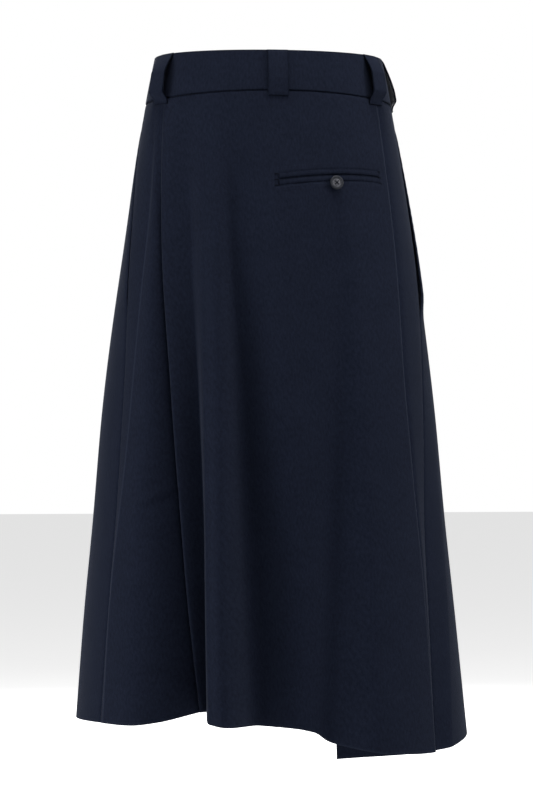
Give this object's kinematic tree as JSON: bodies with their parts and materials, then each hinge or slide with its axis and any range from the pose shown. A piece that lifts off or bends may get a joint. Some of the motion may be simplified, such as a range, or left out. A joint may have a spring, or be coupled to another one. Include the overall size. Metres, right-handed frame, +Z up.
{
  "type": "wrap skirt",
  "caption": "Long wrap skirt in plain twill: contoured waistband with belt loops, back welt pocket with a button, side seam pockets, a released back pleat and an uneven hem.",
  "frame": {"origin": "centre of the waist opening, level with the waistband's top edge at the centre back; the wearer's waist holds it there", "axes": "+Z up, the skirt hangs down -Z; the front with the wrap faces -Y, the back with the welt pocket faces +Y, the wearer's left is +X"},
  "size_m": [0.458, 0.3924, 0.845],
  "materials": {
    "twill": "navy twill, matt with a slight sheen",
    "pocket_facing": "navy twill, matt",
    "button": "grey horn-look, satin"
  },
  "bodies": {
    "root": {"back_centre_panel": "twill", "back_left_panel": "twill", "back_right_panel": "twill", "wrap_flap": "twill", "underlap": "twill", "band_back": "twill", "band_wrap": "twill", "band_underlap": "twill", "loop_centre_back": "twill", "loop_left_back": "twill", "loop_right_back": "twill", "loop_right_side": "twill", "loop_left_front": "twill", "loop_right_front": "twill", "welt_upper": "twill", "welt_lower": "twill", "pocket_facing_right": "pocket_facing", "pocket_facing_left": "pocket_facing", "pocket_button": "button"}
  },
  "joints": []
}
